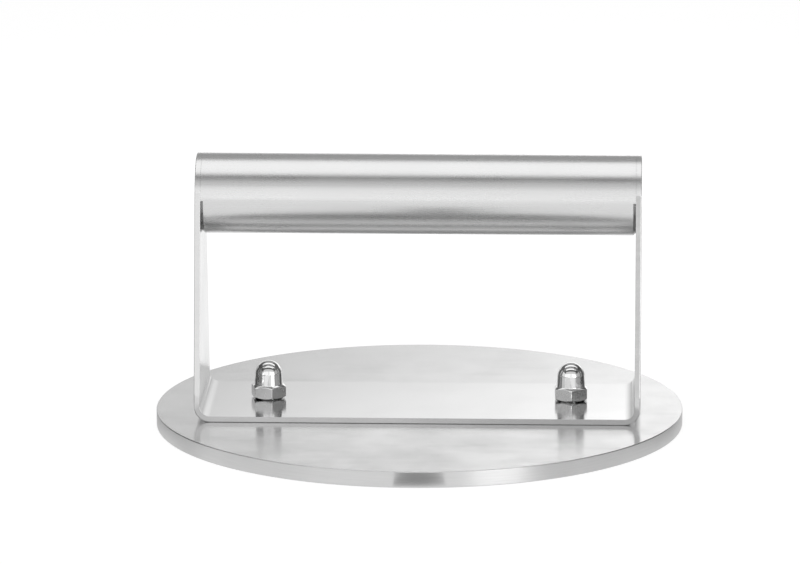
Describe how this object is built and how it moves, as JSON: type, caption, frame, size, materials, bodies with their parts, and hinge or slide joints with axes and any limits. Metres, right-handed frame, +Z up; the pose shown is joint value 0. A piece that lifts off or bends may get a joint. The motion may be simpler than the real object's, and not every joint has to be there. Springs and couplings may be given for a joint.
{
  "type": "smash burger press",
  "caption": "Round flat stainless press plate with a tube grip between the legs of a bent strip, held down by domed nuts, for flattening burgers.",
  "frame": {"origin": "middle of the flat face that presses, on the surface the press stands on", "axes": "+Z up away from the pressing face, +X along the grip, -Y towards the front that the picture shows"},
  "size_m": [0.165, 0.165, 0.0855],
  "materials": {
    "brushed_plate": "straight brushed stainless top and rim, smooth underside",
    "polished_strip": "polished stainless with a faint lengthwise grain and bright edges",
    "satin_tube": "satin stainless tube, ground lengthwise",
    "stud_steel": "plain threaded stainless stud",
    "nut_chrome": "mirror bright domed nut"
  },
  "bodies": {
    "root": {"press_plate": "brushed_plate", "handle_bracket": "polished_strip", "grip_tube": "satin_tube", "grip_weld_left": "satin_tube", "grip_weld_right": "satin_tube", "stud_left": "stud_steel", "stud_right": "stud_steel", "cap_nut_left": "nut_chrome", "cap_nut_right": "nut_chrome"}
  },
  "joints": []
}
